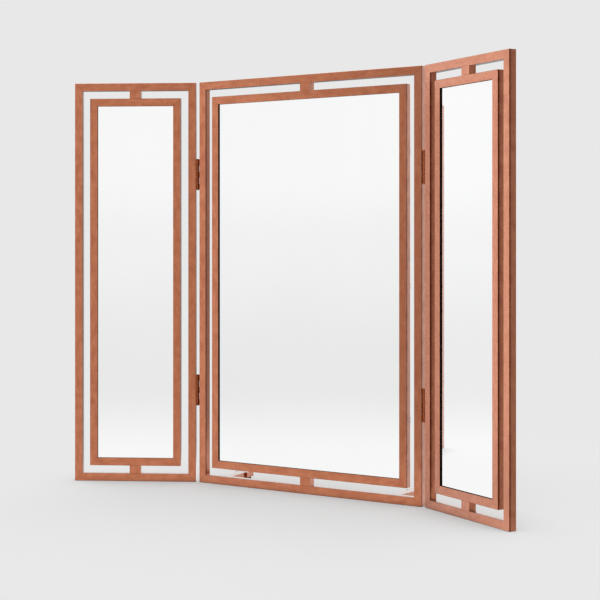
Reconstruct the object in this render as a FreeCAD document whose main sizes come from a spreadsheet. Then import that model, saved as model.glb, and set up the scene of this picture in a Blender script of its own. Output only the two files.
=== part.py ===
import FreeCAD, Part
import os
import re
import Sketcher

# A free-standing dressing table mirror in three panels: a wide centre panel and two wings, hinged to its
# sides, which stand folded forward. Each panel is an outer frame of mitred bar, an open gap, and an inner
# frame of the same bar, joined by a tab at the top and one at the bottom. The inner frame is rebated at
# the back for the mirror glass and its backing board, which screwed clips hold in.
#
# The part's origin is on the table, under the middle of the centre panel: X to the right, Y to the back,
# Z up. Each panel is drawn in its own frame: X from its left end, Y from its front face, Z from its underside.

SIZES = (
    ("panel_height", 700, "height of each panel"),
    ("centre_width", 436.5, "width of the centre panel"),
    ("wing_width", 215, "width of each wing"),
    ("fold_angle", 28.4, "angle of each wing forward of flat, as it stands"),
    ("bar_width", 13.4, "width of a frame bar, seen from the front"),
    ("bar_depth", 13, "depth of a frame bar, front to back"),
    ("bar_chamfer", 0.3, "eased long edges of bars, tabs and feet"),
    ("frame_gap", 13.6, "open gap between the outer and the inner frame"),
    ("tab_width", 20, "width of the tabs across that gap"),
    ("lip_depth", 2.8, "thickness of the inner frame's lip in front of the glass"),
    ("rebate_width", 6, "how far the rebate is cut into the inner bars"),
    ("glass_thickness", 4, "mirror glass"),
    ("glass_clearance", 0.5, "room round the glass and board in the rebate"),
    ("clip_length", 12, "backing clip, across the bar"),
    ("clip_width", 10, "backing clip, along the bar"),
    ("clip_thickness", 1.5, "backing clip plate"),
    ("screw_length", 8, "countersunk screw, over all"),
    ("screw_diameter", 2.5, "screw shank and its pilot hole"),
    ("screw_head", 4.6, "screw head diameter"),
    ("screw_tip", 1.5, "length of the screw's point"),
    ("slot_width", 0.7, "screwdriver slot"),
    ("slot_depth", 0.6, "screwdriver slot"),
    ("hinge_length", 52.6, "hinge barrel and leaves, over all"),
    ("hinge_inset", 161, "middle of a hinge from the nearer end of the panel"),
    ("leaf_thickness", 1.2, "hinge leaf plate"),
    ("barrel_diameter", 5.6, "hinge knuckles"),
    ("barrel_clearance", 0.25, "knuckles to the side of a wing"),
    ("hinge_slot", 1.75, "knuckles to the side of the centre panel"),
    ("tongue_front", 1.2, "front of the tongues that carry the knuckles, behind the pin axis"),
    ("tongue_overlap", 1.2, "how far a tongue reaches into its knuckle"),
    ("notch_clearance", 0.3, "knuckles to the other leaf's plate"),
    ("knuckle_gap", 0.25, "end play between knuckles"),
    ("pin_diameter", 3.2, "hinge pin"),
    ("pin_clearance", 0.05, "radial play of the wing's knuckles on the pin"),
    ("pin_inset", 1.3, "pin axis behind the panels' front faces"),
    ("pin_head_diameter", 5, "pin head"),
    ("pin_head_height", 1, "pin head, at both ends"),
    ("pin_head_chamfer", 0.3, "eased rim of a pin head"),
    ("foot_inset", 52, "middle of a foot from the nearer end of the centre panel, at the rail"),
    ("foot_splay", 5, "how much further out an arm is at its toe than at the rail"),
    ("foot_height", 8.9, "foot arm and toe, down from the top of the rail"),
    ("arm_width", 17.4, "foot arm, along the rail"),
    ("arm_length", 48.5, "foot arm, from the rail to the toe"),
    ("spigot_diameter", 5, "round spigots at both ends of an arm"),
    ("spigot_length", 6, "how far a spigot goes into the rail or toe"),
    ("toe_width", 25, "toe block, along the rail"),
    ("toe_length", 20, "toe block, front to back"),
    ("felt_thickness", 0.5, "felt under the frames"),
    ("felt_margin", 1, "felt set in from the edges of a frame"),
    ("pad_margin", 3, "thick felt pad set in from the edges of a toe"),
)

# Sizes that follow from the ones above
GLASS_BACK = "(lip_depth + glass_thickness)"
LAND = "(bar_width - rebate_width)"
INNER_START = "(bar_width + frame_gap)"
WING_OFFSET = "(barrel_diameter / 2 + barrel_clearance)"
CENTRE_OFFSET = "(barrel_diameter / 2 + hinge_slot)"
NOTCH = "(barrel_diameter / 2 + notch_clearance)"
LEAF_BACK = "(bar_depth - bar_chamfer - pin_inset)"
FOOT_UNDERSIDE = "(bar_width - foot_height)"
SPIGOT_UP = "(bar_width - foot_height / 2)"
TONGUE_FACE = "(barrel_diameter / 2 - tongue_overlap)"
HINGE_SCREW_Y = f"(({NOTCH} + {LEAF_BACK}) / 2 + pin_inset)"
PITCH = "(hinge_length / 5)"
HINGE_STARTS = {
    "lower": "(hinge_inset - hinge_length / 2)",
    "upper": "(panel_height - hinge_inset - hinge_length / 2)",
}
HINGE_SCREWS = ("1 / 6", "1 / 2", "5 / 6")
CENTRE_KNUCKLES = (0, 2, 4)
WING_KNUCKLES = (1, 3)

UPRIGHT = "vector(0; 0; 1)"
UNTURNED = f"rotation({UPRIGHT}; 0)"
PIN_X = f"(centre_width / 2 + {CENTRE_OFFSET})"
PIN_Y = "(pin_inset - bar_depth / 2)"

# Where each foot's arm is in the middle at the rail, and at its toe
FEET = {
    "left": ("foot_inset", "(foot_inset - foot_splay)"),
    "right": ("(centre_width - foot_inset)", "(centre_width - foot_inset + foot_splay)"),
}
TOE_FRONT = "(bar_depth + arm_length)"


def about_pin(pin_x, angle, pin_in_panel):
    """Placement of a wing: its frame, turned by an angle about its hinge pins."""
    hinge_line = f"placement(vector({pin_x}; {PIN_Y}; felt_thickness); rotation({UPRIGHT}; {angle}))"
    return f"{hinge_line} * placement(vector(-{pin_in_panel}; -pin_inset; 0); {UNTURNED})"


# Each panel's width, its place, the distance from its side to the hinge pins, the names of its left and
# right stiles, and the shares of its inner height and width at which backing clips sit
PANELS = {
    "centre": {
        "width": "centre_width",
        "place": f"placement(vector(-centre_width / 2; -bar_depth / 2; felt_thickness); {UNTURNED})",
        "pin_offset": CENTRE_OFFSET,
        "stiles": ("left", "right"),
        "clips_up": ("1 / 6", "1 / 2", "5 / 6"),
        "clips_across": ("1 / 4", "3 / 4"),
    },
    "left_wing": {
        "width": "wing_width",
        "place": about_pin(f"-{PIN_X}", "fold_angle", f"(wing_width + {WING_OFFSET})"),
        "pin_offset": WING_OFFSET,
        "stiles": ("free", "hinge"),
        "clips_up": ("1 / 6", "1 / 2", "5 / 6"),
        "clips_across": ("1 / 2",),
    },
    "right_wing": {
        "width": "wing_width",
        "place": about_pin(PIN_X, "-fold_angle", f"(-{WING_OFFSET})"),
        "pin_offset": WING_OFFSET,
        "stiles": ("hinge", "free"),
        "clips_up": ("1 / 6", "1 / 2", "5 / 6"),
        "clips_across": ("1 / 2",),
    },
}

doc = FreeCAD.newDocument("dressing_table_mirror")
sheet = doc.addObject("Spreadsheet::Sheet", "Sizes")
for row, (alias, size, meaning) in enumerate(SIZES, start=1):
    sheet.set(f"A{row}", meaning)
    sheet.set(f"B{row}", str(size))
    sheet.setAlias(f"B{row}", alias)
doc.recompute()

ALIASES = re.compile(r"\b(" + "|".join(alias for alias, size, meaning in SIZES) + r")\b")
nodes = []


def linked(text):
    """The expression with each size's name pointing to its cell."""
    return ALIASES.sub(r"Sizes.\1", text)


def value(text):
    """What an expression comes to."""
    return float(sheet.evalExpression(linked(text)))


def bind(item, property_name, text):
    item.setExpression(property_name, linked(text))


def place(item, panel, x="0", y="0", z="0"):
    """Puts an object at a point of a panel's frame."""
    bind(item, "Placement", f"{PANELS[panel]['place']} * placement(vector({x}; {y}; {z}); {UNTURNED})")


def new_body(label):
    return doc.addObject("PartDesign::Body", label)


def new_sketch(body, name, plane, offset=None):
    """An empty sketch on one of the body's origin planes, or off it along the plane's normal."""
    sketch = body.newObject("Sketcher::SketchObject", name)
    support = next(item for item in body.Origin.OriginFeatures if item.Role == plane)
    sketch.AttachmentSupport = [(support, "")]
    sketch.MapMode = "FlatFace"
    if offset:
        bind(sketch, "AttachmentOffset.Base.z", offset)
    return sketch


def pin_point(sketch, geometry, point, across, up):
    """Fixes one point of a sketch at two sizes from the sketch's origin."""
    for kind, text in (("DistanceX", across), ("DistanceY", up)):
        index = sketch.addConstraint(Sketcher.Constraint(kind, -1, 1, geometry, point, value(text)))
        bind(sketch, f"Constraints[{index}]", text)


def add_outline(sketch, corners):
    """A closed outline of straight lines through (across, up) corners."""
    points = [FreeCAD.Vector(value(across), value(up), 0) for across, up in corners]
    ends = points[1:] + points[:1]
    lines = [sketch.addGeometry(Part.LineSegment(start, end)) for start, end in zip(points, ends)]
    for line, following in zip(lines, lines[1:] + lines[:1]):
        sketch.addConstraint(Sketcher.Constraint("Coincident", line, 2, following, 1))
    for line, (across, up) in zip(lines, corners):
        pin_point(sketch, line, 1, across, up)


def rectangle(left, right, low, high):
    return [(left, low), (right, low), (right, high), (left, high)]


def add_circle(sketch, across, up, diameter):
    middle = FreeCAD.Vector(value(across), value(up), 0)
    circle = sketch.addGeometry(Part.Circle(middle, FreeCAD.Vector(0, 0, 1), value(diameter) / 2))
    pin_point(sketch, circle, 3, across, up)
    index = sketch.addConstraint(Sketcher.Constraint("Diameter", circle, value(diameter)))
    bind(sketch, f"Constraints[{index}]", diameter)


def extrude(body, kind, name, sketch, length, reverse):
    """A pad or a pocket of a sketch."""
    feature = body.newObject(f"PartDesign::{kind}", name)
    feature.Profile = sketch
    feature.Reversed = reverse
    bind(feature, "Length", length)
    return feature


def ease_edges(body, along, size):
    """Chamfers the body's straight edges that run along a direction."""
    doc.recompute()
    base = body.Tip
    names = []
    for number, edge in enumerate(base.Shape.Edges, start=1):
        run = edge.lastVertex().Point - edge.firstVertex().Point
        if abs(run.normalize().dot(along)) > 0.999:
            names.append(f"Edge{number}")
    chamfer = body.newObject("PartDesign::Chamfer", f"{body.Name}_eased")
    chamfer.Base = (base, names)
    bind(chamfer, "Size", size)


def drill(body, name, plane, offset, places, diameter, depth, reverse):
    """Round blind holes at (across, up) places."""
    sketch = new_sketch(body, f"{body.Name}_{name}_places", plane, offset)
    for across, up in places:
        add_circle(sketch, across, up, diameter)
    extrude(body, "Pocket", f"{body.Name}_{name}", sketch, depth, reverse)


def countersink(body, plane, offset, places, reverse):
    """Screw holes through a plate, countersunk to the screw's head."""
    sketch = new_sketch(body, f"{body.Name}_screw_places", plane, offset)
    for across, up in places:
        add_circle(sketch, across, up, "screw_diameter")
    doc.recompute()
    hole = body.newObject("PartDesign::Hole", f"{body.Name}_screw_holes")
    hole.Profile = sketch
    hole.DepthType = "ThroughAll"
    hole.HoleCutType = "Countersink"
    hole.HoleCutCountersinkAngle = 90
    hole.Reversed = reverse
    bind(hole, "Diameter", "screw_diameter")
    bind(hole, "HoleCutDiameter", "screw_head")


def keep(item, label):
    item.Label = label
    nodes.append(item)


def group(label, panel, pattern, places):
    """One node of separate copies of a piece, at placements in a panel's frame."""
    copies = []
    for number, at in enumerate(places, start=1):
        copy = doc.addObject("App::Link", f"{label}_{number}")
        copy.LinkedObject = pattern
        copy.LinkTransform = False
        bind(copy, "Placement", at)
        copies.append(copy)
    whole = doc.addObject("Part::Compound", label)
    whole.Links = copies
    place(whole, panel)
    keep(whole, label)


X_AXIS = FreeCAD.Vector(1, 0, 0)
Y_AXIS = FreeCAD.Vector(0, 1, 0)
Z_AXIS = FreeCAD.Vector(0, 0, 1)


def frame_box(panel, ring):
    """Left, right, lower and upper limits of a panel's outer or inner frame."""
    width = PANELS[panel]["width"]
    start = "0" if ring == "outer" else INNER_START
    return start, f"({width} - {start})", start, f"(panel_height - {start})"


def mitred_corners(side, box):
    left, right, low, high = box
    inside = (f"({left} + bar_width)", f"({right} - bar_width)", f"({low} + bar_width)", f"({high} - bar_width)")
    in_left, in_right, in_low, in_high = inside
    return {
        "left": [(left, low), (left, high), (in_left, in_high), (in_left, in_low)],
        "right": [(right, high), (right, low), (in_right, in_low), (in_right, in_high)],
        "top": [(left, high), (right, high), (in_right, in_high), (in_left, in_high)],
        "bottom": [(right, low), (left, low), (in_left, in_low), (in_right, in_low)],
    }[side]


def rebate_strip(side, box):
    """The strip of an inner bar that its rebate takes, on the side of the glass."""
    left, right, low, high = box
    return {
        "left": rectangle(f"({left} + {LAND})", f"({left} + bar_width)", low, high),
        "right": rectangle(f"({right} - bar_width)", f"({right} - {LAND})", low, high),
        "top": rectangle(left, right, f"({high} - bar_width)", f"({high} - {LAND})"),
        "bottom": rectangle(left, right, f"({low} + {LAND})", f"({low} + bar_width)"),
    }[side]


def bar_label(panel, ring, side):
    left_name, right_name = PANELS[panel]["stiles"]
    piece = {"left": f"{left_name}_stile", "right": f"{right_name}_stile",
             "top": "top_rail", "bottom": "bottom_rail"}[side]
    return f"{panel}_{ring}_{piece}"


def mitred_bar(panel, ring, side):
    label = bar_label(panel, ring, side)
    body = new_body(label)
    sketch = new_sketch(body, f"{label}_face", "XZ_Plane")
    add_outline(sketch, mitred_corners(side, frame_box(panel, ring)))
    extrude(body, "Pad", f"{label}_pad", sketch, "bar_depth", True)
    ease_edges(body, Z_AXIS if side in ("left", "right") else X_AXIS, "bar_chamfer")
    place(body, panel)
    keep(body, label)
    return body


def cut_rebate(body, panel, side):
    sketch = new_sketch(body, f"{body.Name}_rebate_strip", "XZ_Plane", "-lip_depth")
    add_outline(sketch, rebate_strip(side, frame_box(panel, "inner")))
    extrude(body, "Pocket", f"{body.Name}_rebate", sketch, "bar_depth - lip_depth", False)


def hinge_sides(panel):
    """The sides of a panel that carry hinges."""
    return {"centre": ("left", "right"), "left_wing": ("right",), "right_wing": ("left",)}[panel]


def side_face(panel, side):
    return "0" if side == "left" else PANELS[panel]["width"]


def hinge_screw_places():
    """(back, up) places of the hinge screws on the side of a panel."""
    starts = HINGE_STARTS.values()
    return [(HINGE_SCREW_Y, f"({start} + hinge_length * {share})") for start in starts for share in HINGE_SCREWS]


def clip_seats(panel):
    """Where backing clips sit: side, and the (across, up) point on the inner frame's outer edge."""
    left, right, low, high = frame_box(panel, "inner")
    seats = []
    for share in PANELS[panel]["clips_up"]:
        up = f"({low} + ({high} - {low}) * {share})"
        seats += [("left", left, up), ("right", right, up)]
    for share in PANELS[panel]["clips_across"]:
        across = f"({left} + ({right} - {left}) * {share})"
        seats += [("top", across, high), ("bottom", across, low)]
    return seats


def on_land(side, across, up):
    """The clip screw's place: the middle of the land outside the rebate."""
    return {
        "left": (f"({across} + {LAND} / 2)", up),
        "right": (f"({across} - {LAND} / 2)", up),
        "top": (across, f"({up} - {LAND} / 2)"),
        "bottom": (across, f"({up} + {LAND} / 2)"),
    }[side]


def outer_frame(panel):
    for side in ("left", "right", "top", "bottom"):
        body = mitred_bar(panel, "outer", side)
        if side in hinge_sides(panel):
            drill(body, "hinge_holes", "YZ_Plane", side_face(panel, side), hinge_screw_places(),
                  "screw_diameter", "screw_length - leaf_thickness", side == "left")
        if panel == "centre" and side == "bottom":
            sockets = [(middle, SPIGOT_UP) for middle, toe_middle in FEET.values()]
            drill(body, "foot_sockets", "XZ_Plane", "-bar_depth", sockets,
                  "spigot_diameter", "spigot_length", True)


def inner_frame(panel):
    for side in ("left", "right", "top", "bottom"):
        body = mitred_bar(panel, "inner", side)
        cut_rebate(body, panel, side)
        places = [on_land(*seat) for seat in clip_seats(panel) if seat[0] == side]
        drill(body, "clip_holes", "XZ_Plane", "-bar_depth", places,
              "screw_diameter", "screw_length - clip_thickness", True)


def tabs(panel):
    width = PANELS[panel]["width"]
    across = (f"({width} - tab_width) / 2", f"({width} + tab_width) / 2")
    heights = {
        "top": (f"panel_height - {INNER_START}", "panel_height - bar_width"),
        "bottom": ("bar_width", INNER_START),
    }
    for end, (low, high) in heights.items():
        label = f"{panel}_{end}_tab"
        body = new_body(label)
        sketch = new_sketch(body, f"{label}_face", "XZ_Plane")
        add_outline(sketch, rectangle(*across, low, high))
        extrude(body, "Pad", f"{label}_pad", sketch, "bar_depth", True)
        ease_edges(body, Z_AXIS, "bar_chamfer")
        place(body, panel)
        keep(body, label)


def sheet_in_rebate(panel, piece, front, thickness):
    """A rectangular sheet that lies in the inner frame's rebate."""
    left, right, low, high = frame_box(panel, "inner")
    room = f"({LAND} + glass_clearance)"
    label = f"{panel}_{piece}"
    body = new_body(label)
    sketch = new_sketch(body, f"{label}_face", "XZ_Plane", f"-{front}")
    add_outline(sketch, rectangle(f"{left} + {room}", f"{right} - {room}", f"{low} + {room}", f"{high} - {room}"))
    extrude(body, "Pad", f"{label}_pad", sketch, thickness, True)
    place(body, panel)
    keep(body, label)


def screw_pattern():
    """A countersunk screw that points down, with the top of its head at the origin."""
    body = new_body("screw_pattern")
    head_height = "(screw_head - screw_diameter) / 2"
    profile = new_sketch(body, "screw_profile", "XZ_Plane")
    add_outline(profile, [
        ("0", "0"),
        ("screw_head / 2", "0"),
        ("screw_diameter / 2", f"-{head_height}"),
        ("screw_diameter / 2", "screw_tip - screw_length"),
        ("0", "-screw_length"),
    ])
    turned = body.newObject("PartDesign::Revolution", "screw_turned")
    turned.Profile = profile
    turned.ReferenceAxis = (profile, ["V_Axis"])
    turned.Angle = 360
    slot = new_sketch(body, "screw_slot_face", "XY_Plane")
    add_outline(slot, rectangle("-screw_head / 2", "screw_head / 2", "-slot_width / 2", "slot_width / 2"))
    extrude(body, "Pocket", "screw_slot", slot, "slot_depth", False)
    return body


def clip_pattern():
    """A backing clip: X from its end on the frame towards the glass, Y its thickness, Z along the bar."""
    body = new_body("clip_pattern")
    face = new_sketch(body, "clip_face", "XZ_Plane")
    end = "bar_chamfer"
    add_outline(face, rectangle(end, f"{end} + clip_length", "-clip_width / 2", "clip_width / 2"))
    extrude(body, "Pad", "clip_pad", face, "clip_thickness", True)
    ease_edges(body, Y_AXIS, "bar_chamfer")
    countersink(body, "XZ_Plane", "-clip_thickness", [(f"{LAND} / 2", "0")], True)
    return body


def pin_pattern():
    """A hinge pin that stands on the lower end of its hinge, with a head at each end."""
    body = new_body("pin_pattern")
    profile = new_sketch(body, "pin_profile", "XZ_Plane")
    rim = "(pin_head_diameter / 2 - pin_head_chamfer)"
    add_outline(profile, [
        ("0", "-pin_head_height"),
        (rim, "-pin_head_height"),
        ("pin_head_diameter / 2", "pin_head_chamfer - pin_head_height"),
        ("pin_head_diameter / 2", "0"),
        ("pin_diameter / 2", "0"),
        ("pin_diameter / 2", "hinge_length"),
        ("pin_head_diameter / 2", "hinge_length"),
        ("pin_head_diameter / 2", "hinge_length + pin_head_height - pin_head_chamfer"),
        (rim, "hinge_length + pin_head_height"),
        ("0", "hinge_length + pin_head_height"),
    ])
    turned = body.newObject("PartDesign::Revolution", "pin_turned")
    turned.Profile = profile
    turned.ReferenceAxis = (profile, ["V_Axis"])
    turned.Angle = 360
    return body


def backing_clips(panel, clip):
    """Clips on the back of the inner frame, each turned about Y to point at the glass."""
    turns = {"left": "0", "right": "180", "top": "90", "bottom": "-90"}
    places = [
        f"placement(vector({across}; bar_depth; {up}); rotation(vector(0; 1; 0); {turns[side]}))"
        for side, across, up in clip_seats(panel)
    ]
    group(f"{panel}_backing_clips", panel, clip, places)


def screws(panel, screw):
    """Every screw of a panel: forward through the clips, and sideways through the hinge leaves."""
    places = []
    for seat in clip_seats(panel):
        across, up = on_land(*seat)
        point = f"vector({across}; bar_depth + clip_thickness; {up})"
        places.append(f"placement({point}; rotation(vector(1; 0; 0); -90))")
    for side in hinge_sides(panel):
        face = side_face(panel, side)
        head, turn = (f"{face} - leaf_thickness", -90) if side == "left" else (f"{face} + leaf_thickness", 90)
        for back, up in hinge_screw_places():
            places.append(f"placement(vector({head}; {back}; {up}); rotation(vector(0; 1; 0); {turn}))")
    group(f"{panel}_screws", panel, screw, places)


def hinge_leaf(label, panel, side, start, knuckles, play, bore):
    """A leaf on one side of a panel. It is drawn from the pin: X to the panel, Y to the back, Z up."""
    to_panel = 1 if side == "left" else -1
    reverse = side == "right"
    offset = PANELS[panel]["pin_offset"]
    face = f"{to_panel} * ({offset} - leaf_thickness)"
    zones = [(f"({PITCH} * {number} + {play})", f"({PITCH} * {number + 1} - {play})") for number in knuckles]
    body = new_body(label)
    plate = new_sketch(body, f"{label}_plate_face", "YZ_Plane", face)
    add_outline(plate, rectangle(NOTCH, LEAF_BACK, "0", "hinge_length"))
    extrude(body, "Pad", f"{label}_plate", plate, "leaf_thickness", reverse)
    tongues = new_sketch(body, f"{label}_tongue_faces", "YZ_Plane", f"{to_panel} * {TONGUE_FACE}")
    for low, high in zones:
        add_outline(tongues, rectangle("tongue_front", NOTCH, low, high))
    extrude(body, "Pad", f"{label}_tongues", tongues, f"{offset} - {TONGUE_FACE}", reverse)
    for number, (low, high) in enumerate(zones, start=1):
        knuckle = body.newObject("PartDesign::AdditiveCylinder", f"{label}_knuckle_{number}")
        bind(knuckle, "Radius", "barrel_diameter / 2")
        bind(knuckle, "Height", f"{high} - {low}")
        bind(knuckle, "Placement.Base.z", low)
    hole = body.newObject("PartDesign::SubtractiveCylinder", f"{label}_bore")
    bind(hole, "Radius", bore)
    bind(hole, "Height", "hinge_length")
    places = [(f"({HINGE_SCREW_Y} - pin_inset)", f"(hinge_length * {share})") for share in HINGE_SCREWS]
    countersink(body, "YZ_Plane", face, places, not reverse)
    pin_x = f"({side_face(panel, side)} - {to_panel} * {offset})"
    place(body, panel, pin_x, "pin_inset", start)
    keep(body, label)


def hinges():
    for wing, centre_side, wing_side in (("left", "left", "right"), ("right", "right", "left")):
        for height, start in HINGE_STARTS.items():
            name = f"{wing}_{height}_hinge"
            hinge_leaf(f"{name}_centre_leaf", "centre", centre_side, start, CENTRE_KNUCKLES,
                       "0", "pin_diameter / 2")
            hinge_leaf(f"{name}_wing_leaf", f"{wing}_wing", wing_side, start, WING_KNUCKLES,
                       "knuckle_gap", "pin_diameter / 2 + pin_clearance")


def hinge_pins(pin):
    lines = {"left": f"-{CENTRE_OFFSET}", "right": f"centre_width + {CENTRE_OFFSET}"}
    for wing, across in lines.items():
        places = [f"placement(vector({across}; pin_inset; {start}); {UNTURNED})"
                  for start in HINGE_STARTS.values()]
        group(f"{wing}_hinge_pins", "centre", pin, places)


def foot_arm(side):
    """An arm that splays out behind the bottom rail, with a spigot into the rail and one into the toe."""
    label = f"{side}_foot_arm"
    middle, toe_middle = FEET[side]
    body = new_body(label)
    plan = new_sketch(body, f"{label}_plan", "XY_Plane", FOOT_UNDERSIDE)
    add_outline(plan, [
        (f"{middle} - arm_width / 2", "bar_depth"),
        (f"{middle} + arm_width / 2", "bar_depth"),
        (f"{toe_middle} + arm_width / 2", TOE_FRONT),
        (f"{toe_middle} - arm_width / 2", TOE_FRONT),
    ])
    extrude(body, "Pad", f"{label}_pad", plan, "foot_height", False)
    run = FreeCAD.Vector(value(f"{toe_middle} - {middle}"), value("arm_length"), 0)
    ease_edges(body, run.normalize(), "bar_chamfer")
    for end, across, start in (("rail", middle, "bar_depth"), ("toe", toe_middle, TOE_FRONT)):
        spigot = new_sketch(body, f"{label}_{end}_spigot_section", "XZ_Plane", f"spigot_length - {start}")
        add_circle(spigot, across, SPIGOT_UP, "spigot_diameter")
        extrude(body, "Pad", f"{label}_{end}_spigot", spigot, "2 * spigot_length", True)
    place(body, "centre")
    keep(body, label)


def toe_sides(side):
    """Left, right, front and back limits of a toe."""
    middle = FEET[side][1]
    return f"{middle} - toe_width / 2", f"{middle} + toe_width / 2", TOE_FRONT, f"{TOE_FRONT} + toe_length"


def foot_toe(side):
    label = f"{side}_foot_toe"
    body = new_body(label)
    plan = new_sketch(body, f"{label}_plan", "XY_Plane", FOOT_UNDERSIDE)
    add_outline(plan, rectangle(*toe_sides(side)))
    extrude(body, "Pad", f"{label}_pad", plan, "foot_height", False)
    ease_edges(body, Z_AXIS, "bar_chamfer")
    drill(body, "socket", "XZ_Plane", f"-{TOE_FRONT}", [(FEET[side][1], SPIGOT_UP)],
          "spigot_diameter", "spigot_length", False)
    place(body, "centre")
    keep(body, label)


def felt_box(name, sides, top, margin):
    """A felt box from the table to the underside of a piece, set in from the piece's sides."""
    left, right, front, back = sides
    box = doc.addObject("Part::Box", name)
    bind(box, "Length", f"{right} - ({left}) - 2 * {margin}")
    bind(box, "Width", f"{back} - ({front}) - 2 * {margin}")
    bind(box, "Height", f"felt_thickness + {top}")
    corner = f"vector({left} + {margin}; {front} + {margin}; -felt_thickness)"
    bind(box, "Placement", f"placement({corner}; {UNTURNED})")
    return box


def felt(panel):
    label = f"{panel}_felt"
    frame_sides = ("0", PANELS[panel]["width"], "0", "bar_depth")
    pieces = [felt_box(f"{label}_strip", frame_sides, "0", "felt_margin")]
    if panel == "centre":
        for side in FEET:
            pieces.append(felt_box(f"{label}_{side}_pad", toe_sides(side), FOOT_UNDERSIDE, "pad_margin"))
    whole = doc.addObject("Part::Compound", label)
    whole.Links = pieces
    place(whole, panel)
    keep(whole, label)


def check_cuts():
    """Every pocket, hole and bore takes something away."""
    for item in doc.Objects:
        if item.TypeId in ("PartDesign::Pocket", "PartDesign::Hole", "PartDesign::SubtractiveCylinder"):
            if item.Shape.Volume > item.BaseFeature.Shape.Volume - 0.1:
                raise RuntimeError(f"{item.Name} cuts nothing")


def check_shapes():
    doc.recompute()
    for item in doc.Objects:
        if "Invalid" in item.State or "Error" in item.State:
            raise RuntimeError(f"{item.Name} failed: {item.State}")
    for item in nodes:
        if item.Shape.isNull() or not item.Shape.isValid() or not item.Shape.Solids:
            raise RuntimeError(f"{item.Label} has no valid shape")


def write_nodes():
    os.makedirs("parts", exist_ok=True)
    for item in nodes:
        item.Shape.exportStep(os.path.join("parts", f"{item.Label}.step"))
        print(f"{item.Label}: {len(item.Shape.Solids)} solids, {item.Shape.Volume:.0f} mm3")


clip_piece = clip_pattern()
screw_piece = screw_pattern()
pin_piece = pin_pattern()
doc.recompute()
for panel_name in PANELS:
    outer_frame(panel_name)
    inner_frame(panel_name)
    tabs(panel_name)
    sheet_in_rebate(panel_name, "mirror_glass", "lip_depth", "glass_thickness")
    sheet_in_rebate(panel_name, "backing_board", GLASS_BACK, f"bar_depth - {GLASS_BACK}")
    backing_clips(panel_name, clip_piece)
    screws(panel_name, screw_piece)
    felt(panel_name)
hinges()
hinge_pins(pin_piece)
for foot_side in FEET:
    foot_arm(foot_side)
    foot_toe(foot_side)
check_shapes()
check_cuts()
write_nodes()
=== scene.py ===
import math

import bpy
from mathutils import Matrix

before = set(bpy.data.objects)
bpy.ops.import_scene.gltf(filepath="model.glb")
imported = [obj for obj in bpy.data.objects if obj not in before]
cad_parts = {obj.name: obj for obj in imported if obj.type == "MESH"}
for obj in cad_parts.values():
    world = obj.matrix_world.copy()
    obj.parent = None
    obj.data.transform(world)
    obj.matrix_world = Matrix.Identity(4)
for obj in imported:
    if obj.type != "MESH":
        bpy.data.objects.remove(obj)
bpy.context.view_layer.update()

# Camera of the photograph: metres, degrees and millimetres.
CAMERA_PLACE = (1.23907, -1.98344, 0.41674)
CAMERA_PITCH = 90.0
CAMERA_HEADING = 32.278
CAMERA_LENS = 83.864
CAMERA_SENSOR = 36.0
CAMERA_SHIFT_Y = -0.09259

# How far each panel is turned about the vertical, in degrees, so that textures lie along its bars.
PANEL_TURN = {"centre": 0.0, "left_wing": -28.4, "right_wing": 28.4}

# The axes across and up a panel, each with its place in a corner's coordinates.
PANEL_AXES = (("X", 0), ("Z", 2))

# Sockets of a mix node, for colours and for values.
COLOUR_MIX = {"factor": 0, "first": 6, "second": 7, "result": 2}
VALUE_MIX = {"factor": 0, "first": 2, "second": 3, "result": 0}

WHITE = (1.0, 1.0, 1.0, 1.0)

# Soft box over the object: metres and watts.
LAMP_PLACE = (-0.2, 0.4, 3.0)
LAMP_TARGET = (0.0, 0.0, 0.0)
LAMP_SIZE = 2.4
LAMP_POWER = 25.0

# Linear brightness of the plain background, and of the light from the level and from overhead. A height
# is the upward part of a direction.
BACKGROUND = 0.807
AMBIENT = (0.35, 1.30)
AMBIENT_HEIGHTS = (0.35, 0.95)

# Brightness that reflections find by height, as a sum of soft steps: the floor below, and a wall that gets
# lighter upwards.
MIRRORED_STEPS = (
    ((-0.15, -0.10), (0.985, 0.863)),
    ((-0.08, 0.0), (0.0, 0.067)),
    ((0.0, 0.05), (0.0, 0.055)),
)

# Share of that brightness by bearing in degrees: 0 in front of the centre panel, 90 to its right, -90 to
# its left. Bright screens stand on the left, a dark cloth in front and dim walls on the right.
SURROUND = (
    (-180, 0.30), (-163, 0.50), (-145, 0.18), (-125, 0.50), (-102, 0.80),
    (-96, 2.30), (-88, 2.30), (-85.5, 1.03), (-79, 1.03), (-76.5, 1.96),
    (-68, 1.96), (-60, 1.40), (-44, 1.80), (-38, 1.00), (-27.8, 1.00),
    (-24, 0.12), (-4, 0.12), (3, 1.42), (8, 1.36), (13, 1.00),
    (21.5, 1.00), (25, 0.50), (50, 0.50), (80, 0.56), (115, 0.56),
    (138, 0.20), (147, 0.30), (154, 1.40), (168, 0.90), (180, 0.30),
)
SURROUND_PEAK = 3.0
FULL_TURN = 360.0

# Higher up the sides get dimmer, and the back turns to a plain bright sky. A depth is the backward part of
# a direction.
SKY_HEIGHTS = (0.10, 0.22)
SIDE_DEPTHS = (-0.6, -0.2)
SIDE_SKY = 0.55
BACK_HEIGHTS = (0.08, 0.17)
BACK_DEPTHS = (0.3, 0.7)
BACK_SKY = 0.95

# Floor, in metres from under the middle of the object. It is lit near the object and plain background
# further out, and the background's share also grows to the left and right.
FLOOR_RADIUS = 9.0
FLOOR_CORNERS = 96
FLOOR_ALBEDO = 0.77
FLOOR_FADE = (0.45, 0.95)
FILL_REACH = (0.18, 0.50)
FLOOR_FILL = (0.45, 0.95)

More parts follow.
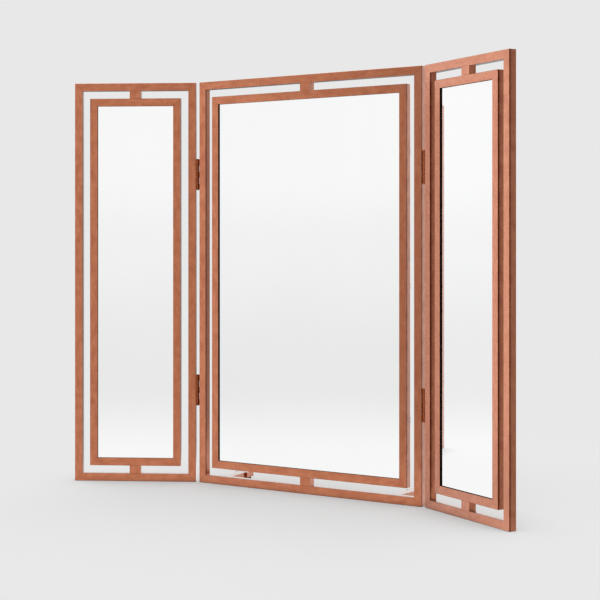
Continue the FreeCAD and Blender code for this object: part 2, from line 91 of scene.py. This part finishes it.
# Painted shade on the plain background part of the floor close to the object: its reach in metres, the
# openness it goes by and its brightness.
CONTACT_REACH = 0.12
CONTACT_OPENNESS = (0.40, 0.90)
CONTACT_LEVEL = (0.62, 1.0)
CONTACT_SAMPLES = 4

# The same painted shade in reflections, which find the floor only near the object and the surround past
# it.
MIRRORED_REACH = 0.05
MIRRORED_OPENNESS = (0.3, 1.0)
MIRRORED_LEVEL = (0.30, 0.985)
FLOOR_NEAR = (0.26, 0.55)

# Copper finish, as linear colours.
COPPER_LIGHT = (0.563, 0.182, 0.078, 1.0)
COPPER_MID = (0.515, 0.152, 0.057, 1.0)
COPPER_DARK = (0.452, 0.116, 0.036, 1.0)
COPPER_WORN = (0.600, 0.205, 0.095, 1.0)
COPPER_SEAM = (0.200, 0.048, 0.016, 1.0)
# Painted shade for the sides just behind a bar's front face.
COPPER_PAINTED_SHADE = (0.090, 0.018, 0.006, 1.0)
HINGE_DARK = (0.270, 0.062, 0.020, 1.0)
HINGE_LIGHT = (0.370, 0.098, 0.036, 1.0)
# Black painted shade for the lip's inside and the rebate, where the gap beside the glass lies in shade.
BLACK_PAINTED_SHADE = (0.006, 0.004, 0.003, 1.0)

# Other finishes, as linear colours.
GLASS_DULL = (0.930, 0.937, 0.934, 1.0)
GLASS_CLEAR = (0.945, 0.950, 0.947, 1.0)
BOARD_DARK = (0.115, 0.062, 0.032, 1.0)
BOARD_LIGHT = (0.235, 0.140, 0.078, 1.0)
BOARD_CLOUD = (0.190, 0.108, 0.058, 1.0)
BOARD_FIBRE = (0.330, 0.215, 0.130, 1.0)
BOARD_EDGE = (0.300, 0.200, 0.125, 1.0)
ZINC_DARK = (0.45, 0.45, 0.46, 1.0)
ZINC_LIGHT = (0.62, 0.62, 0.62, 1.0)
SCREW_DARK = (0.36, 0.34, 0.31, 1.0)
SCREW_LIGHT = (0.54, 0.52, 0.49, 1.0)
STEEL_EDGE = (0.82, 0.81, 0.79, 1.0)
FELT_DARK = (0.060, 0.034, 0.022, 1.0)
FELT_LIGHT = (0.170, 0.105, 0.070, 1.0)
FELT_CLUMP = (0.110, 0.066, 0.044, 1.0)

# Noise patterns: features per metre, detail and, where it isn't the usual one, roughness.
COPPER_PATCHES = (110.0, 4.0, 0.6)
COPPER_CLOUDS = (26.0, 2.0)
COPPER_STREAKS = (900.0, 2.0)
COPPER_GRAIN = (1500.0, 2.0)
HINGE_PATCHES = (220.0, 3.0)
HINGE_TURNING = (2600.0, 2.0)
GLASS_VEIL = (7.0, 4.0, 0.6)
GLASS_WIPES = (60.0, 3.0)
BOARD_FIBRES = (900.0, 4.0, 0.7)
BOARD_SPECKS = (260.0, 5.0, 0.75)
BOARD_CLOUDS = (9.0, 3.0)
STEEL_SPANGLE = (420.0, 3.0)
STEEL_SCRATCHES = (2400.0, 2.0)
FELT_FUZZ = (1800.0, 4.0, 0.7)
FELT_CLUMPS = (300.0, 3.0)

# How patterns are drawn out, as a scale along X, Y and Z: streaks and patches along a bar's own axis.
STREAK_STRETCH = {"x": (0.04, 1.0, 1.0), "y": (1.0, 0.04, 1.0), "z": (1.0, 1.0, 0.04)}
PATCH_STRETCH = {"x": (0.5, 1.0, 1.0), "y": (1.0, 0.5, 1.0), "z": (1.0, 1.0, 0.5)}
TURNING_STRETCH = (0.1, 0.1, 1.0)
VEIL_STRETCH = (1.0, 1.0, 0.6)
WIPE_STRETCH = (0.15, 0.15, 1.0)
FIBRE_STRETCH = (0.4, 0.4, 1.0)
SCRATCH_STRETCH = (0.08, 1.0, 1.0)

# Spans of a noise pattern's value: nearly all of it, and its middle.
WIDE = (0.30, 0.70)
MIDDLE = (0.35, 0.65)

# Copper rubbed bright on its edges, in metres, and whitened where it is seen at a low angle.
WORN_EDGE = 0.0005
EVEN_BLEND = 0.5
GLARE_SLIGHT = ((0.15, 0.62), (0.0, 0.07))
GLARE_STRONG = ((0.72, 0.90), (0.0, 0.78))

# Mitre seams, and the painted shade on the sides just behind a bar's front face, in metres.
SEAM_WIDTH = (0.0002, 0.0008)
SHADE_DEPTH = (0.0005, 0.0050)
SIDE_FACING = (0.75, 0.25)

# The lip in front of the glass is copper for this far behind its front face, and black painted shade from
# there on, for the shadow gap beside the glass.
LIP_DEPTH = 0.0028
LIP_COPPER = 0.0003
BLACK_SHADE_ROUGHNESS = 0.9
PLAIN_SPECULAR = 0.5


def put(tree, kind, inputs=None, **settings):
    """Adds a node; an input is a number or colour to set, or a socket to link from."""
    node = tree.nodes.new(kind)
    for name, value in settings.items():
        setattr(node, name, value)
    for key, value in (inputs or {}).items():
        if isinstance(value, bpy.types.NodeSocket):
            tree.links.new(value, node.inputs[key])
        else:
            node.inputs[key].default_value = value
    return node


def mix(tree, factor, first, second, blend="MIX"):
    """Colour socket between two colours."""
    at = COLOUR_MIX
    inputs = {at["factor"]: factor, at["first"]: first, at["second"]: second}
    node = put(tree, "ShaderNodeMix", data_type="RGBA", blend_type=blend)
    for index, value in inputs.items():
        if isinstance(value, bpy.types.NodeSocket):
            tree.links.new(value, node.inputs[index])
        else:
            node.inputs[index].default_value = value
    return node.outputs[at["result"]]


def mix_values(tree, factor, first, second):
    """Value socket between two values."""
    at = VALUE_MIX
    inputs = {at["factor"]: factor, at["first"]: first, at["second"]: second}
    return put(tree, "ShaderNodeMix", inputs).outputs[at["result"]]


def calc(tree, operation, first, second=0.0):
    """Value socket of a math operation on one or two values."""
    return put(tree, "ShaderNodeMath", {0: first, 1: second}, operation=operation).outputs[0]


def remap(tree, value, span, to_span=(0.0, 1.0), interpolation="SMOOTHSTEP"):
    """Value socket that goes through to_span as value goes through span."""
    limits = {
        "Value": value,
        "From Min": span[0],
        "From Max": span[1],
        "To Min": to_span[0],
        "To Max": to_span[1],
    }
    return put(tree, "ShaderNodeMapRange", limits, interpolation_type=interpolation).outputs["Result"]


def noise(tree, vector, scale, detail, roughness=0.55):
    """Value socket of a noise pattern with features about 1 / scale metres wide."""
    inputs = {"Vector": vector, "Scale": scale, "Detail": detail, "Roughness": roughness}
    return put(tree, "ShaderNodeTexNoise", inputs).outputs["Fac"]


def dot(tree, first, second):
    """Value socket of the dot product of two vectors."""
    inputs = {0: first, 1: second}
    return put(tree, "ShaderNodeVectorMath", inputs, operation="DOT_PRODUCT").outputs["Value"]


def grey(level):
    """A neutral colour."""
    return (level, level, level, 1.0)


def new_material(name):
    """An empty node material and its tree."""
    material = bpy.data.materials.new(name)
    material.use_nodes = True
    material.node_tree.nodes.clear()
    return material, material.node_tree


def close_material(tree, inputs):
    """Ends a tree in one principled surface."""
    surface = put(tree, "ShaderNodeBsdfPrincipled", inputs)
    put(tree, "ShaderNodeOutputMaterial", {"Surface": surface.outputs[0]})


def panel_vector(tree, turn=0.0, stretch=(1.0, 1.0, 1.0)):
    """Coordinates in metres with X along the rails of a turned panel, scaled by stretch."""
    place = put(tree, "ShaderNodeTexCoord").outputs["Object"]
    rotation = (0.0, 0.0, math.radians(turn))
    turned = put(tree, "ShaderNodeMapping", {"Vector": place, "Rotation": rotation})
    scaled = put(tree, "ShaderNodeMapping", {"Vector": turned.outputs[0], "Scale": stretch})
    return scaled.outputs[0]


def panel_spot(tree, panel):
    """Node with the separate coordinates of a point in a panel's own turned axes."""
    return put(tree, "ShaderNodeSeparateXYZ", {0: panel_vector(tree, PANEL_TURN[panel])})


def edge_mask(tree, radius):
    """Value socket that is 1 on sharp outer edges and 0 on flat faces."""
    rounded = put(tree, "ShaderNodeBevel", {"Radius": radius}, samples=6).outputs[0]
    flat = put(tree, "ShaderNodeNewGeometry").outputs["Normal"]
    return remap(tree, dot(tree, rounded, flat), (0.998, 0.90))


def bump(tree, height, strength, distance):
    """Normal socket of a small relief."""
    inputs = {"Height": height, "Strength": strength, "Distance": distance}
    return put(tree, "ShaderNodeBump", inputs).outputs["Normal"]


def turned_box(panel, pieces):
    """Low and high corners of some pieces of a panel, in the panel's own turned axes."""
    turn = math.radians(PANEL_TURN[panel])
    corners = []
    for piece in pieces:
        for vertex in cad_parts[f"{panel}_{piece}"].data.vertices:
            x, y, z = vertex.co
            across = x * math.cos(turn) - y * math.sin(turn)
            back = x * math.sin(turn) + y * math.cos(turn)
            corners.append((across, back, z))
    return [min(axis) for axis in zip(*corners)], [max(axis) for axis in zip(*corners)]


def seam_mask(tree, panel, ring):
    """Value socket that is 1 along the mitred corners of a panel's outer or inner frame."""
    low, high = turned_box(panel, (f"{ring}_top_rail", f"{ring}_bottom_rail"))
    spot = panel_spot(tree, panel)
    depths = []
    for axis, index in PANEL_AXES:
        from_low = calc(tree, "SUBTRACT", spot.outputs[axis], low[index])
        from_high = calc(tree, "SUBTRACT", high[index], spot.outputs[axis])
        depths.append(calc(tree, "MINIMUM", from_low, from_high))
    off_seam = calc(tree, "ABSOLUTE", calc(tree, "SUBTRACT", *depths))
    return remap(tree, off_seam, SEAM_WIDTH, (1.0, 0.0))


def painted_shade_mask(tree, panel, ring):
    """Value socket of painted shade: 1 on the sides of a panel's bars just behind their front faces."""
    turn = math.radians(PANEL_TURN[panel])
    front = turned_box(panel, (f"{ring}_top_rail",))[0][1]
    depth = calc(tree, "SUBTRACT", panel_spot(tree, panel).outputs["Y"], front)
    normal = put(tree, "ShaderNodeTexCoord").outputs["Normal"]
    facing = dot(tree, normal, (math.sin(turn), math.cos(turn), 0.0))
    side = remap(tree, calc(tree, "ABSOLUTE", facing), SIDE_FACING)
    return calc(tree, "MULTIPLY", side, remap(tree, depth, SHADE_DEPTH, (1.0, 0.0)))


def rebate_shade_mask(tree, panel):
    """Value socket that is 1 where black painted shade goes: on the inside of the lip and in the rebate
    behind it.
    """
    low, high = turned_box(panel, ("mirror_glass",))
    spot = panel_spot(tree, panel)
    mask = calc(tree, "GREATER_THAN", spot.outputs["Y"], low[1] - LIP_DEPTH + LIP_COPPER)
    for axis, index in PANEL_AXES:
        past_low = calc(tree, "GREATER_THAN", spot.outputs[axis], low[index])
        before_high = calc(tree, "LESS_THAN", spot.outputs[axis], high[index])
        mask = calc(tree, "MULTIPLY", mask, past_low)
        mask = calc(tree, "MULTIPLY", mask, before_high)
    return mask


def copper_tone(tree, patches, clouds, streaks):
    """Colour socket of the patina, with brush lines and edges rubbed bright."""
    tone = mix(tree, remap(tree, patches, (0.32, 0.70)), COPPER_DARK, COPPER_LIGHT)
    tone = mix(tree, remap(tree, clouds, MIDDLE, (0.05, 0.45)), tone, COPPER_MID)
    line = remap(tree, streaks, WIDE, (0.93, 1.06))
    lines = put(tree, "ShaderNodeCombineColor", {0: line, 1: line, 2: line}).outputs[0]
    tone = mix(tree, 1.0, tone, lines, "MULTIPLY")
    rubbed = remap(tree, patches, MIDDLE, (0.1, 0.5))
    worn = calc(tree, "MULTIPLY", edge_mask(tree, WORN_EDGE), rubbed)
    return mix(tree, worn, tone, COPPER_WORN)


def with_glare(tree, tone):
    """Colour socket of the metal's reflectance, which whitens where it is seen at a low angle."""
    facing = put(tree, "ShaderNodeLayerWeight", {"Blend": EVEN_BLEND}).outputs["Facing"]
    slight = remap(tree, facing, *GLARE_SLIGHT, "LINEAR")
    strong = remap(tree, facing, *GLARE_STRONG)
    return mix(tree, calc(tree, "ADD", slight, strong), tone, WHITE)


def copper(name, along, panel=None, ring=None):
    """Satin copper finish along a bar. A frame's bars have seams and painted shade on their sides just
    behind the front face, and an inner frame's bars have black painted shade in the rebate."""
    material, tree = new_material(name)
    turn = PANEL_TURN.get(panel, 0.0)
    patches = noise(tree, panel_vector(tree, turn, PATCH_STRETCH[along]), *COPPER_PATCHES)
    clouds = noise(tree, panel_vector(tree, turn, PATCH_STRETCH[along]), *COPPER_CLOUDS)
    streaks = noise(tree, panel_vector(tree, turn, STREAK_STRETCH[along]), *COPPER_STREAKS)
    grain = noise(tree, panel_vector(tree, turn), *COPPER_GRAIN)

    tone = with_glare(tree, copper_tone(tree, patches, clouds, streaks))
    coat = 1.0
    if ring:
        filled = remap(tree, clouds, MIDDLE, (0.35, 0.75))
        seam = calc(tree, "MULTIPLY", seam_mask(tree, panel, ring), filled)
        tone = mix(tree, seam, tone, COPPER_SEAM)
        # Painted shade on the sides just behind the front face, a little uneven, which also takes the coat
        # away there.
        depth = remap(tree, patches, WIDE, (1.0, 0.85))
        shade = calc(tree, "MULTIPLY", painted_shade_mask(tree, panel, ring), depth)
        tone = mix(tree, shade, tone, COPPER_PAINTED_SHADE)
        coat = calc(tree, "SUBTRACT", 1.0, shade)

    rough = remap(tree, patches, WIDE, (0.34, 0.24))
    rough = calc(tree, "ADD", rough, remap(tree, streaks, WIDE, (-0.03, 0.03)))
    half_streaks = calc(tree, "MULTIPLY", streaks, 0.5)
    half_grain = calc(tree, "MULTIPLY", grain, 0.5)
    surface = {
        "Base Color": tone,
        "Metallic": 1.0,
        "Roughness": rough,
        "Coat Weight": coat,
        "Coat Roughness": 0.25,
        "Normal": bump(tree, calc(tree, "ADD", half_streaks, half_grain), 0.25, 0.0002),
    }
    if ring == "inner":
        # Black painted shade on the lip's inside and in the rebate, for the shadow gap beside the glass.
        black_shade = rebate_shade_mask(tree, panel)
        plain = calc(tree, "SUBTRACT", 1.0, black_shade)
        dull = calc(tree, "MULTIPLY", black_shade, BLACK_SHADE_ROUGHNESS)
        surface["Base Color"] = mix(tree, black_shade, tone, BLACK_PAINTED_SHADE)
        surface["Metallic"] = plain
        surface["Coat Weight"] = calc(tree, "MULTIPLY", plain, coat)
        surface["Specular IOR Level"] = calc(tree, "MULTIPLY", plain, PLAIN_SPECULAR)
        surface["Roughness"] = calc(tree, "MAXIMUM", rough, dull)
    close_material(tree, surface)
    return material


def hinge_metal(name):
    """Dark polished copper of the hinges, with turning lines and edges rubbed bright."""
    material, tree = new_material(name)
    patches = noise(tree, panel_vector(tree), *HINGE_PATCHES)
    turning = noise(tree, panel_vector(tree, stretch=TURNING_STRETCH), *HINGE_TURNING)
    tone = mix(tree, remap(tree, patches, WIDE), HINGE_DARK, HINGE_LIGHT)
    rubbed = remap(tree, patches, WIDE, (0.2, 0.6))
    worn = calc(tree, "MULTIPLY", edge_mask(tree, 0.0006), rubbed)
    tone = mix(tree, worn, tone, COPPER_WORN)
    close_material(tree, {
        "Base Color": tone,
        "Metallic": 1.0,
        "Roughness": remap(tree, patches, WIDE, (0.18, 0.11)),
        "Normal": bump(tree, turning, 0.15, 0.0001),
    })
    return material


def mirror_glass(name):
    """Silvered glass, with the faintest veil of wiping marks."""
    material, tree = new_material(name)
    veil = noise(tree, panel_vector(tree, stretch=VEIL_STRETCH), *GLASS_VEIL)
    wipes = noise(tree, panel_vector(tree, stretch=WIPE_STRETCH), *GLASS_WIPES)
    close_material(tree, {
        "Base Color": mix(tree, remap(tree, veil, WIDE), GLASS_DULL, GLASS_CLEAR),
        "Metallic": 1.0,
        "Roughness": remap(tree, wipes, (0.4, 0.8), (0.0, 0.02)),
    })
    return material


def hardboard(name):
    """Brown pressed fibre board behind the glass, pale on its edges."""
    material, tree = new_material(name)
    fibres = noise(tree, panel_vector(tree, stretch=FIBRE_STRETCH), *BOARD_FIBRES)
    specks = noise(tree, panel_vector(tree), *BOARD_SPECKS)
    clouds = noise(tree, panel_vector(tree), *BOARD_CLOUDS)
    edges = calc(tree, "MULTIPLY", edge_mask(tree, 0.0012), 0.6)
    tone = mix(tree, remap(tree, specks, (0.35, 0.68)), BOARD_DARK, BOARD_LIGHT)
    tone = mix(tree, remap(tree, clouds, WIDE, (0.0, 0.5)), tone, BOARD_CLOUD)
    tone = mix(tree, remap(tree, fibres, (0.58, 0.75), (0.0, 0.5)), tone, BOARD_FIBRE)
    tone = mix(tree, edges, tone, BOARD_EDGE)
    close_material(tree, {
        "Base Color": tone,
        "Roughness": remap(tree, specks, WIDE, (0.85, 0.62)),
        "Normal": bump(tree, calc(tree, "ADD", fibres, specks), 0.35, 0.0004),
    })
    return material


def plated_steel(name, dark, light, rough):
    """Plated steel of the clips and screws, dull with handling."""
    material, tree = new_material(name)
    spangle = noise(tree, panel_vector(tree), *STEEL_SPANGLE)
    scratches = noise(tree, panel_vector(tree, stretch=SCRATCH_STRETCH), *STEEL_SCRATCHES)
    edges = calc(tree, "MULTIPLY", edge_mask(tree, 0.0004), 0.7)
    tone = mix(tree, remap(tree, spangle, WIDE), dark, light)
    tone = mix(tree, edges, tone, STEEL_EDGE)
    close_material(tree, {
        "Base Color": tone,
        "Metallic": 1.0,
        "Roughness": remap(tree, spangle, WIDE, (rough + 0.08, rough - 0.06)),
        "Normal": bump(tree, scratches, 0.2, 0.0001),
    })
    return material


def felt(name):
    """Brown pressed felt under the frame and the toes."""
    material, tree = new_material(name)
    fuzz = noise(tree, panel_vector(tree), *FELT_FUZZ)
    clumps = noise(tree, panel_vector(tree), *FELT_CLUMPS)
    tone = mix(tree, remap(tree, fuzz, WIDE), FELT_DARK, FELT_LIGHT)
    tone = mix(tree, remap(tree, clumps, (0.4, 0.7), (0.0, 0.5)), tone, FELT_CLUMP)
    close_material(tree, {
        "Base Color": tone,
        "Roughness": remap(tree, fuzz, WIDE, (0.98, 0.88)),
        "Sheen Weight": 0.4,
        "Sheen Roughness": 0.5,
        "Normal": bump(tree, fuzz, 0.6, 0.0004),
    })
    return material


def give(node_name, material):
    """Puts one material on a whole CAD node."""
    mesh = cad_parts[node_name].data
    mesh.materials.clear()
    mesh.materials.append(material)


def copper_bars():
    """Copper for each panel's frames, by panel, frame and the bars' direction, and for its tabs."""
    bars = {}
    for panel in PANEL_TURN:
        for ring in ("outer", "inner"):
            for along in "xz":
                name = f"copper_{panel}_{ring}_{along}"
                bars[panel, ring, along] = copper(name, along, panel, ring)
        bars[panel, "tab", "z"] = copper(f"copper_{panel}_tab", "z", panel)
    return bars


def dress():
    """Gives every CAD node its material."""
    bars = copper_bars()
    foot_bar = copper("copper_foot", "y")
    hinge = hinge_metal("hinge_copper")
    shared = {
        "mirror_glass": mirror_glass("silvered_glass"),
        "backing_board": hardboard("hardboard"),
        "backing_clips": plated_steel("zinc_plate", ZINC_DARK, ZINC_LIGHT, 0.38),
        "screws": plated_steel("screw_steel", SCREW_DARK, SCREW_LIGHT, 0.30),
        "felt": felt("felt"),
    }
    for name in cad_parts:
        panel = next((panel for panel in PANEL_TURN if name.startswith(panel)), None)
        kind = name[len(panel) + 1:] if panel else name
        if name.endswith(("hinge_centre_leaf", "hinge_wing_leaf", "hinge_pins")):
            give(name, hinge)
        elif "foot" in name:
            give(name, foot_bar)
        elif kind in shared:
            give(name, shared[kind])
        else:
            ring = next(ring for ring in ("outer", "inner", "tab") if ring in kind.split("_"))
            along = "x" if name.endswith("rail") else "z"
            give(name, bars[panel, ring, along])


def by_ray(tree, seen, mirrored, lighting):
    """Shader socket: one shader for the camera, one for reflections and one for the light it casts."""
    path = put(tree, "ShaderNodeLightPath").outputs
    bent = calc(tree, "MAXIMUM", path["Is Glossy Ray"], path["Is Transmission Ray"])
    inner = put(tree, "ShaderNodeMixShader", {0: bent, 1: lighting, 2: mirrored})
    outer = put(tree, "ShaderNodeMixShader", {0: path["Is Camera Ray"], 1: inner.outputs[0], 2: seen})
    return outer.outputs[0]


def surround(tree, direction):
    """Value socket of the share of brightness at a direction's bearing."""
    parts = put(tree, "ShaderNodeSeparateXYZ", {0: direction})
    ahead = calc(tree, "MULTIPLY", parts.outputs["Y"], -1.0)
    bearing = calc(tree, "ARCTAN2", parts.outputs["X"], ahead)
    share = remap(tree, bearing, (-math.pi, math.pi), interpolation="LINEAR")
    ramp = put(tree, "ShaderNodeValToRGB", {0: share})
    ramp.color_ramp.interpolation = "EASE"
    stops = ramp.color_ramp.elements
    last = len(SURROUND) - 1
    for index, (degrees, level) in enumerate(SURROUND):
        place = (degrees - SURROUND[0][0]) / FULL_TURN
        if index == 0:
            stop = stops[0]
            stop.position = place
        elif index == last:
            stop = stops[len(stops) - 1]
            stop.position = place
        else:
            stop = stops.new(place)
        stop.color = grey(level / SURROUND_PEAK)
    return calc(tree, "MULTIPLY", ramp.outputs["Color"], SURROUND_PEAK)


def mirrored_level(tree, direction):
    """Value socket of the brightness that reflections find in a direction."""
    parts = put(tree, "ShaderNodeSeparateXYZ", {0: direction})
    height = parts.outputs["Z"]
    depth = parts.outputs["Y"]
    steps = [remap(tree, height, heights, levels) for heights, levels in MIRRORED_STEPS]
    level = steps[0]
    for step in steps[1:]:
        level = calc(tree, "ADD", level, step)
    level = calc(tree, "MULTIPLY", level, surround(tree, direction))
    upper = remap(tree, depth, SIDE_DEPTHS, (1.0, SIDE_SKY))
    level = calc(tree, "MULTIPLY", level, remap(tree, height, SKY_HEIGHTS, (1.0, upper)))
    rise = remap(tree, height, BACK_HEIGHTS)
    back = calc(tree, "MULTIPLY", rise, remap(tree, depth, BACK_DEPTHS))
    return mix_values(tree, back, level, BACK_SKY)


def make_world():
    """Studio surroundings: a flat pale background for the camera, screens and soft steps of brightness
    for reflections, and plain light that is stronger from overhead."""
    world = bpy.data.worlds.new("studio")
    bpy.context.scene.world = world
    world.use_nodes = True
    tree = world.node_tree
    tree.nodes.clear()
    direction = put(tree, "ShaderNodeTexCoord").outputs["Generated"]
    height = put(tree, "ShaderNodeSeparateXYZ", {0: direction}).outputs["Z"]
    level = mirrored_level(tree, direction)
    overhead = remap(tree, height, AMBIENT_HEIGHTS, AMBIENT)
    seen = put(tree, "ShaderNodeBackground", {"Color": grey(BACKGROUND), "Strength": 1.0})
    mirrored = put(tree, "ShaderNodeBackground", {"Color": WHITE, "Strength": level})
    lighting = put(tree, "ShaderNodeBackground", {"Color": WHITE, "Strength": overhead})
    surface = by_ray(tree, seen.outputs[0], mirrored.outputs[0], lighting.outputs[0])
    put(tree, "ShaderNodeOutputWorld", {"Surface": surface})


def openness(tree, reach):
    """Value socket that falls from 1 where something stands within reach of the floor."""
    inputs = {"Distance": reach}
    return put(tree, "ShaderNodeAmbientOcclusion", inputs, samples=CONTACT_SAMPLES).outputs["AO"]


def floor_material():
    """Pale floor: lit with the object's shadow near it, flat background further out, with painted shade
    where something stands close by. Reflections find it only near the object, with the same painted shade."""
    material, tree = new_material("studio_floor")
    place = put(tree, "ShaderNodeTexCoord").outputs["Object"]
    distance = put(tree, "ShaderNodeVectorMath", {0: place}, operation="LENGTH").outputs["Value"]
    right = put(tree, "ShaderNodeSeparateXYZ", {0: place}).outputs["X"]

    lit = put(tree, "ShaderNodeBsdfDiffuse", {"Color": grey(FLOOR_ALBEDO)}).outputs[0]
    # Painted shade: the flat background darkens where the object stands close to the floor.
    painted_contact_shade = remap(tree, openness(tree, CONTACT_REACH), CONTACT_OPENNESS, CONTACT_LEVEL)
    far = put(tree, "ShaderNodeEmission", {"Color": grey(BACKGROUND), "Strength": painted_contact_shade}).outputs[0]
    fill = remap(tree, calc(tree, "ABSOLUTE", right), FILL_REACH, FLOOR_FILL)
    fade = calc(tree, "MAXIMUM", fill, remap(tree, distance, FLOOR_FADE))
    seen = put(tree, "ShaderNodeMixShader", {0: fade, 1: lit, 2: far}).outputs[0]

    # Painted shade in reflections of the floor near where the object stands.
    painted_reflected_shade = remap(tree, openness(tree, MIRRORED_REACH), MIRRORED_OPENNESS, MIRRORED_LEVEL)
    near = put(tree, "ShaderNodeEmission", {"Color": WHITE, "Strength": painted_reflected_shade}).outputs[0]
    past = put(tree, "ShaderNodeBsdfTransparent").outputs[0]
    away = remap(tree, distance, FLOOR_NEAR)
    mirrored = put(tree, "ShaderNodeMixShader", {0: away, 1: near, 2: past}).outputs[0]

    surface = by_ray(tree, seen, mirrored, lit)
    put(tree, "ShaderNodeOutputMaterial", {"Surface": surface})
    return material


def make_floor():
    """A wide disc under the object."""
    bpy.ops.mesh.primitive_circle_add(vertices=FLOOR_CORNERS, radius=FLOOR_RADIUS, fill_type="NGON")
    floor = bpy.context.object
    floor.name = "studio_floor"
    floor.data.materials.append(floor_material())


def make_lamp():
    """A square soft box that points at the object."""
    lamp = bpy.data.lights.new("top_softbox", "AREA")
    lamp.shape = "SQUARE"
    lamp.size = LAMP_SIZE
    lamp.energy = LAMP_POWER
    holder = bpy.data.objects.new("top_softbox", lamp)
    bpy.context.collection.objects.link(holder)
    holder.location = LAMP_PLACE
    right, back, up = [end - start for start, end in zip(LAMP_PLACE, LAMP_TARGET)]
    pitch = math.atan2(math.hypot(right, back), -up)
    heading = math.atan2(-right, back)
    holder.rotation_euler = (pitch, 0.0, heading)


def make_camera():
    """The photograph's camera."""
    camera = bpy.data.cameras.new("camera")
    camera.lens = CAMERA_LENS
    camera.sensor_width = CAMERA_SENSOR
    camera.shift_y = CAMERA_SHIFT_Y
    holder = bpy.data.objects.new("camera", camera)
    bpy.context.collection.objects.link(holder)
    holder.location = CAMERA_PLACE
    holder.rotation_euler = (math.radians(CAMERA_PITCH), 0.0, math.radians(CAMERA_HEADING))
    bpy.context.scene.camera = holder


def main():
    """Dresses the part and sets the studio round it."""
    dress()
    make_world()
    make_floor()
    make_lamp()
    make_camera()
    bpy.context.scene.view_settings.view_transform = "Standard"


main()
